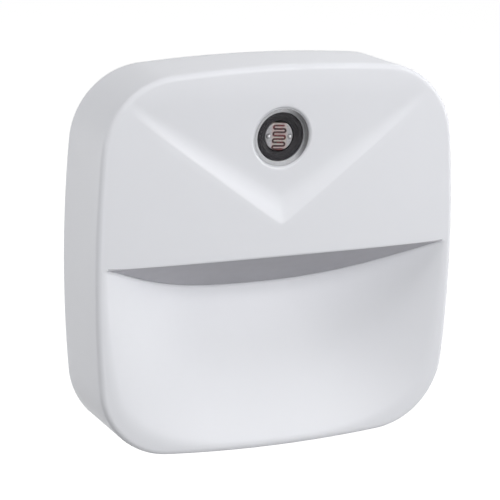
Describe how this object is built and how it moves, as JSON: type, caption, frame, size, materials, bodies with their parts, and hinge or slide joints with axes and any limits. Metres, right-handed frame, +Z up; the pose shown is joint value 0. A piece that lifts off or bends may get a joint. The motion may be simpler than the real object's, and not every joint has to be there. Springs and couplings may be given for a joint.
{
  "type": "plug-in night light",
  "caption": "Rounded square white plug in night light with a light sensor window in a V shaped recess and a deep light scoop under a straight ledge.",
  "frame": {"origin": "midway between the two plug blades, on the face that meets the wall", "axes": "+Z up, +Y into the wall along the blades, so the front faces -Y; +X to the right as seen from the front"},
  "size_m": [0.065, 0.033, 0.0654],
  "materials": {
    "shell_white": "fine satin texture",
    "cover_white": "fine satin texture",
    "diffuser_milky": "milky, frosted",
    "window_clear": "clear, polished",
    "tube_black": "satin black",
    "cell_ceramic": "fine grained",
    "cell_track": "dull red brown film",
    "tinned_wire": "tinned",
    "blade_brass": "drawn strip",
    "board_green": "solder mask",
    "screw_steel": "plated",
    "board_white": "white solder mask",
    "led_package": "white package, yellow phosphor",
    "film_yellow": "moulded box",
    "sleeve_dark": "shrink sleeve",
    "resistor_grey": "flame proof coating",
    "resistor_tan": "lacquer",
    "moulding_black": "moulded package",
    "diode_black": "moulded package",
    "chip_black": "glazed chip",
    "solder": "bright solder"
  },
  "bodies": {
    "root": {"front_cover": "shell_white", "rear_cover": "cover_white", "light_diffuser": "diffuser_milky", "sensor_window": "window_clear", "sensor_tube": "tube_black", "photoresistor_body": "cell_ceramic", "photoresistor_track": "cell_track", "photoresistor_leads": "tinned_wire", "blade_left": "blade_brass", "blade_right": "blade_brass", "main_board": "board_green", "board_screws": "screw_steel", "light_board": "board_white", "leds": "led_package", "film_capacitor": "film_yellow", "smoothing_capacitor": "sleeve_dark", "fusible_resistor": "resistor_grey", "bleed_resistor": "resistor_tan", "bridge_rectifier": "moulding_black", "zener_diode": "diode_black", "transistor": "moulding_black", "chip_resistors": "chip_black", "solder_joints": "solder"}
  },
  "joints": []
}
